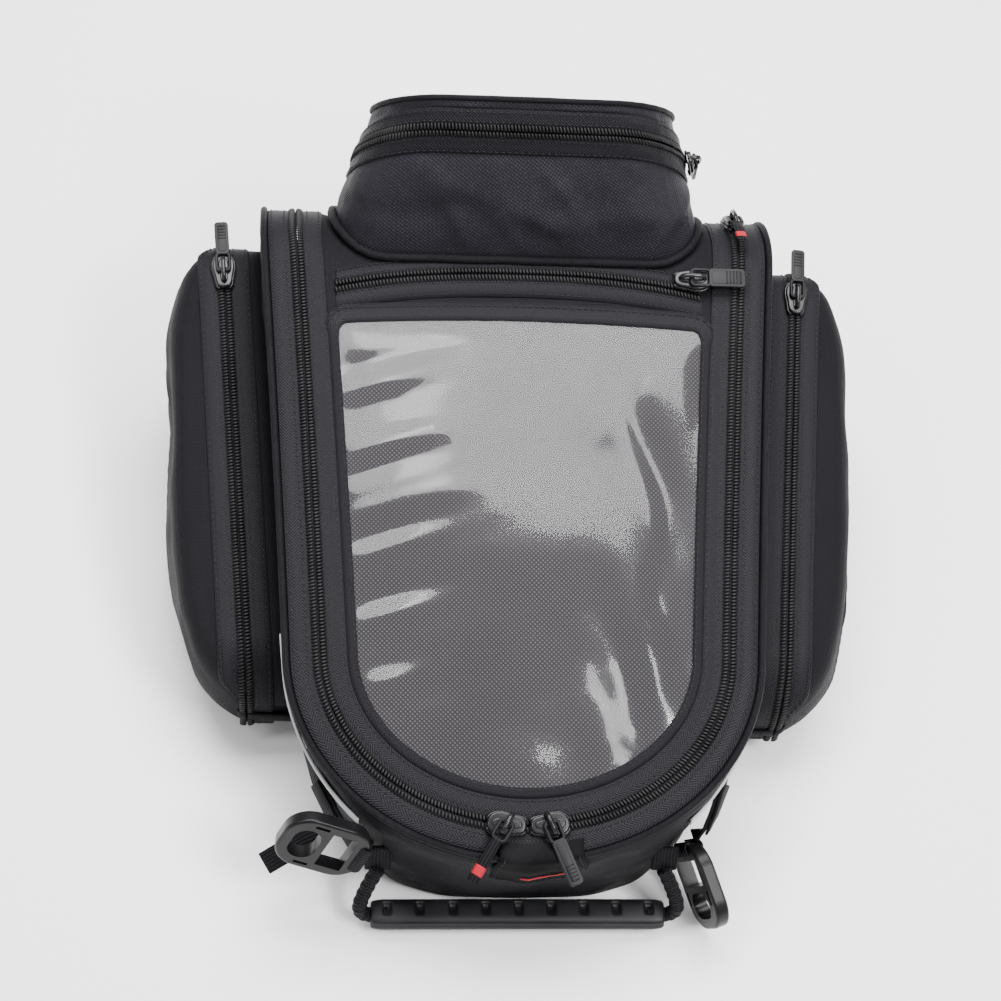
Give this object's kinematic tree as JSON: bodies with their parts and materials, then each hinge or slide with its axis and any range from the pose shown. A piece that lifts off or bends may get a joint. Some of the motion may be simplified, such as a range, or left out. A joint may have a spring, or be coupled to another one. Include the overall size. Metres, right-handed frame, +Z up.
{
  "type": "motorcycle tank bag",
  "caption": "Wedge-shaped magnetic tank bag with arched zip lid, clear map window, top pouch, two side pockets, rubber-grip carry handle and plastic rings.",
  "frame": {"origin": "centre of the bounding box in X and Y, on the plane the base pad rests on", "axes": "+Z up, +Y from the rider's end (handle) to the handlebar end (pouch), +X to the right seen from the rider"},
  "size_m": [0.3482, 0.382, 0.2237],
  "materials": {
    "shell_fabric": "plain woven black polyester over thin foam",
    "zip_tape": "herringbone woven tape",
    "zip_coil": "black nylon coil",
    "piping": "cord wrapped in black cloth",
    "base_pad": "non-slip mat",
    "board": "stiff sheet",
    "magnet": "plated disc",
    "reflective": "light grey reflective tape",
    "label": "soft moulded patch, blank",
    "backing": "textured nylon",
    "clear_pvc": "clear soft vinyl",
    "binding": "bias tape",
    "webbing": "ribbed webbing",
    "grip_rubber": "moulded rubber",
    "ring_plastic": "moulded plastic",
    "slider_metal": "gloss black",
    "puller_plastic": "gloss black with ribbed end"
  },
  "bodies": {
    "bag": {"tub_shell": "shell_fabric", "outer_zip_tape": "zip_tape", "outer_zip_coil": "zip_coil", "tub_piping": "piping", "base_pad": "base_pad", "base_board": "board", "base_magnets": "magnet", "reflective_strip_left": "reflective", "reflective_strip_right": "reflective", "label_patch": "label", "pocket_left_back": "shell_fabric", "pocket_left_tape_in": "zip_tape", "pocket_left_coil_in": "zip_coil", "pocket_right_back": "shell_fabric", "pocket_right_tape_in": "zip_tape", "pocket_right_coil_in": "zip_coil", "strap_anchor_left": "webbing", "strap_anchor_right": "webbing"},
    "lid": {"lid_shell": "shell_fabric", "inner_zip_coil": "zip_coil", "inner_zip_tape": "zip_tape", "window_backing": "backing", "window_pvc": "clear_pvc", "window_binding": "binding", "map_zip_tape": "zip_tape", "map_zip_coil": "zip_coil", "pouch_body": "shell_fabric", "pouch_lower_coil": "zip_coil", "pouch_lower_tape": "zip_tape", "pouch_base_piping": "piping"},
    "pouch_lid": {"pouch_lid_shell": "shell_fabric", "pouch_upper_coil": "zip_coil", "pouch_upper_tape": "zip_tape", "pouch_top_piping": "piping"},
    "pocket_flap_left": {"pocket_left_flap": "shell_fabric", "pocket_left_tape_out": "zip_tape", "pocket_left_coil_out": "zip_coil"},
    "pocket_flap_right": {"pocket_right_flap": "shell_fabric", "pocket_right_tape_out": "zip_tape", "pocket_right_coil_out": "zip_coil"},
    "handle": {"handle_web": "webbing", "handle_grip": "grip_rubber"},
    "ring_left": {"d_ring_left": "ring_plastic"},
    "ring_right": {"d_ring_right": "ring_plastic"},
    "slider_main_left": {"slider_main_left": "slider_metal"},
    "puller_main_left": {"puller_main_left": "puller_plastic"},
    "slider_main_right": {"slider_main_right": "slider_metal"},
    "puller_main_right": {"puller_main_right": "puller_plastic"},
    "slider_rear": {"slider_rear": "slider_metal"},
    "puller_rear": {"puller_rear": "puller_plastic"},
    "slider_map": {"slider_map": "slider_metal"},
    "puller_map": {"puller_map": "puller_plastic"},
    "slider_pouch": {"slider_pouch": "slider_metal"},
    "puller_pouch": {"puller_pouch": "puller_plastic"},
    "slider_pocket_left": {"slider_pocket_left": "slider_metal"},
    "puller_pocket_left": {"puller_pocket_left": "puller_plastic"},
    "slider_pocket_right": {"slider_pocket_right": "slider_metal"},
    "puller_pocket_right": {"puller_pocket_right": "puller_plastic"}
  },
  "joints": [
    {"name": "lid_open", "type": "hinge", "parent": "bag", "child": "lid", "pos_m": [0, 0.16511, 0.09], "axis": [-1, 0, 0], "range_deg": [0, 95]},
    {"name": "pouch_open", "type": "hinge", "parent": "lid", "child": "pouch_lid", "pos_m": [0, 0.17653, 0.13424], "axis": [-1, 0, 0], "range_deg": [0, 100]},
    {"name": "pocket_flap_left_open", "type": "hinge", "parent": "bag", "child": "pocket_flap_left", "pos_m": [-0.14, 0.03211, 0.02], "axis": [0.078, -0.997, 0], "range_deg": [0, 24]},
    {"name": "pocket_flap_right_open", "type": "hinge", "parent": "bag", "child": "pocket_flap_right", "pos_m": [0.14, 0.03211, 0.02], "axis": [0.078, 0.997, 0], "range_deg": [0, 24]},
    {"name": "slider_main_left_run", "type": "hinge", "parent": "lid", "child": "slider_main_left", "pos_m": [0, -0.04702, 0.10145], "axis": [0, 0.2504, -0.9681], "range_deg": [0, 24]},
    {"name": "slider_main_right_run", "type": "hinge", "parent": "lid", "child": "slider_main_right", "pos_m": [0, -0.04702, 0.10145], "axis": [0, -0.2504, 0.9681], "range_deg": [0, 24]},
    {"name": "slider_rear_run", "type": "hinge", "parent": "lid", "child": "slider_rear", "pos_m": [0.1116, 0.12011, 0.09819], "axis": [1, 0, 0], "range_deg": [-20, 30]},
    {"name": "slider_map_run", "type": "slide", "parent": "lid", "child": "slider_map", "axis": [-1, 0, 0], "range_m": [0, 0.16]},
    {"name": "slider_pouch_run", "type": "slide", "parent": "lid", "child": "slider_pouch", "axis": [0.1849, 0.4547, -0.8713], "range_m": [-0.012, 0.006]},
    {"name": "slider_pocket_left_run", "type": "slide", "parent": "bag", "child": "slider_pocket_left", "axis": [0.078, -0.9652, -0.2496], "range_m": [0, 0.172]},
    {"name": "slider_pocket_right_run", "type": "slide", "parent": "bag", "child": "slider_pocket_right", "axis": [-0.078, -0.9652, -0.2496], "range_m": [0, 0.172]},
    {"name": "puller_main_left_flip", "type": "hinge", "parent": "slider_main_left", "child": "puller_main_left", "pos_m": [-0.01066, -0.16211, 0.07866], "axis": [-0.853, 0.5052, 0.1307], "range_deg": [0, 150]},
    {"name": "puller_main_right_flip", "type": "hinge", "parent": "slider_main_right", "child": "puller_main_right", "pos_m": [0.00943, -0.16221, 0.07863], "axis": [-0.9171, -0.386, -0.0998], "range_deg": [0, 150]},
    {"name": "puller_rear_flip", "type": "hinge", "parent": "slider_rear", "child": "puller_rear", "pos_m": [0.1116, 0.14753, 0.14208], "axis": [-1, 0, 0], "range_deg": [0, 120]},
    {"name": "puller_map_flip", "type": "hinge", "parent": "slider_map", "child": "puller_map", "pos_m": [0.086, 0.10342, 0.14733], "axis": [0, -0.9681, -0.2504], "range_deg": [0, 150]},
    {"name": "puller_pouch_flip", "type": "hinge", "parent": "slider_pouch", "child": "puller_pouch", "pos_m": [0.08846, 0.16157, 0.16842], "axis": [0.2307, -0.8819, -0.4112], "range_deg": [0, 120]},
    {"name": "puller_pocket_left_flip", "type": "hinge", "parent": "slider_pocket_left", "child": "puller_pocket_left", "pos_m": [-0.14736, 0.12442, 0.11776], "axis": [0.997, 0.0755, 0.0195], "range_deg": [0, 150]},
    {"name": "puller_pocket_right_flip", "type": "hinge", "parent": "slider_pocket_right", "child": "puller_pocket_right", "pos_m": [0.14689, 0.11842, 0.11621], "axis": [0.997, -0.0755, -0.0195], "range_deg": [0, 150]},
    {"name": "handle_swing", "type": "hinge", "parent": "bag", "child": "handle", "pos_m": [0, -0.16289, 0.034], "axis": [-1, 0, 0], "range_deg": [0, 60]},
    {"name": "ring_left_swing", "type": "hinge", "parent": "bag", "child": "ring_left", "pos_m": [-0.0785, -0.16489, 0.051], "axis": [-0.3885, -0.2167, -0.8956], "range_deg": [-30, 6]},
    {"name": "ring_right_swing", "type": "hinge", "parent": "bag", "child": "ring_right", "pos_m": [0.0815, -0.15539, 0.032], "axis": [-0.1771, 0.3602, -0.9159], "range_deg": [-30, 8]}
  ]
}
